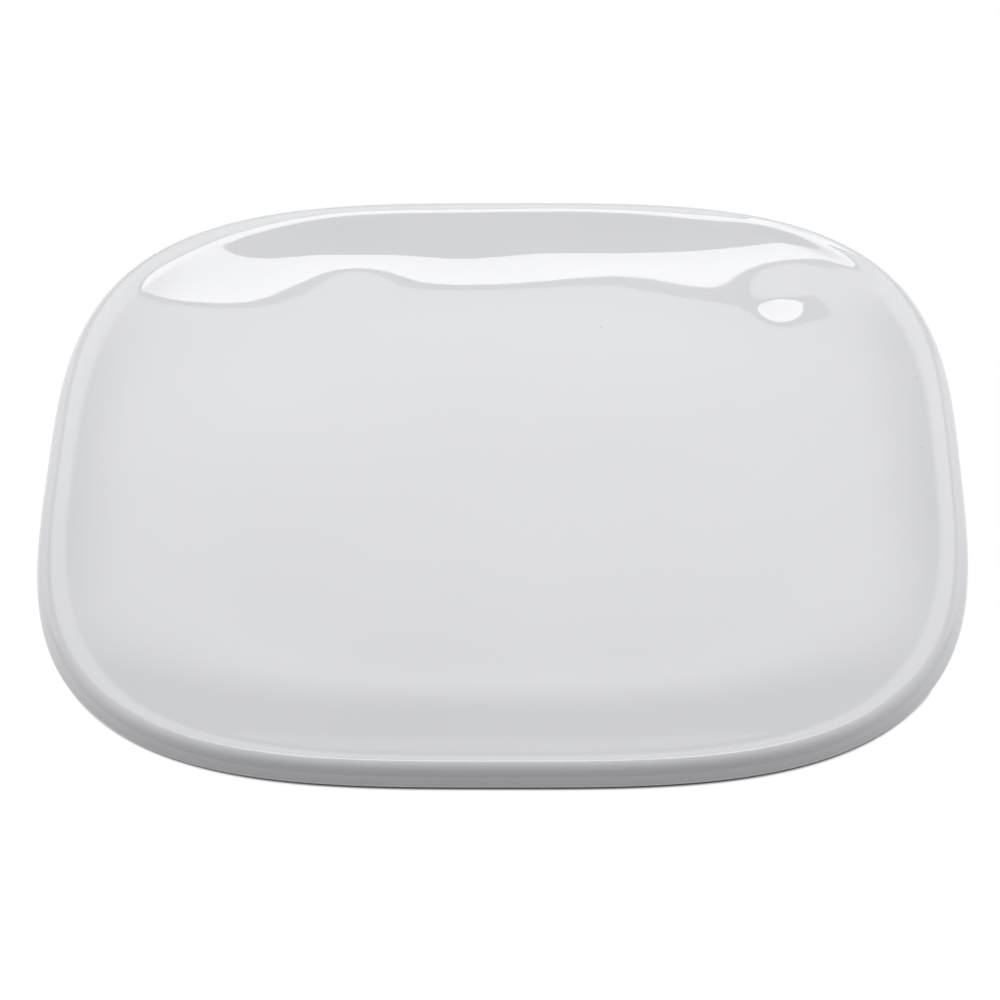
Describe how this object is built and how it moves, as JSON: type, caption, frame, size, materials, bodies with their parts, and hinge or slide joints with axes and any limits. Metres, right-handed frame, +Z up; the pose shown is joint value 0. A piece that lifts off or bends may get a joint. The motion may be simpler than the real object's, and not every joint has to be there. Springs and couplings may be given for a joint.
{
  "type": "square plate",
  "caption": "Soft-square glazed plate with a rounded lip, a gently coved inner wall, a flat floor and a bare foot ring, for serving food.",
  "frame": {"origin": "middle of the foot ring's bearing plane, on the plate's centre line", "axes": "+Z up, out of the well; +X and +Y square to the plate's sides, with -Y the side nearest the camera"},
  "size_m": [0.21, 0.21, 0.0139],
  "materials": {
    "glaze": "gloss white glaze",
    "biscuit": "matt fired porcelain"
  },
  "bodies": {
    "root": {"porcelain_body": "biscuit", "glaze_coat": "glaze", "base_glaze": "glaze"}
  },
  "joints": []
}
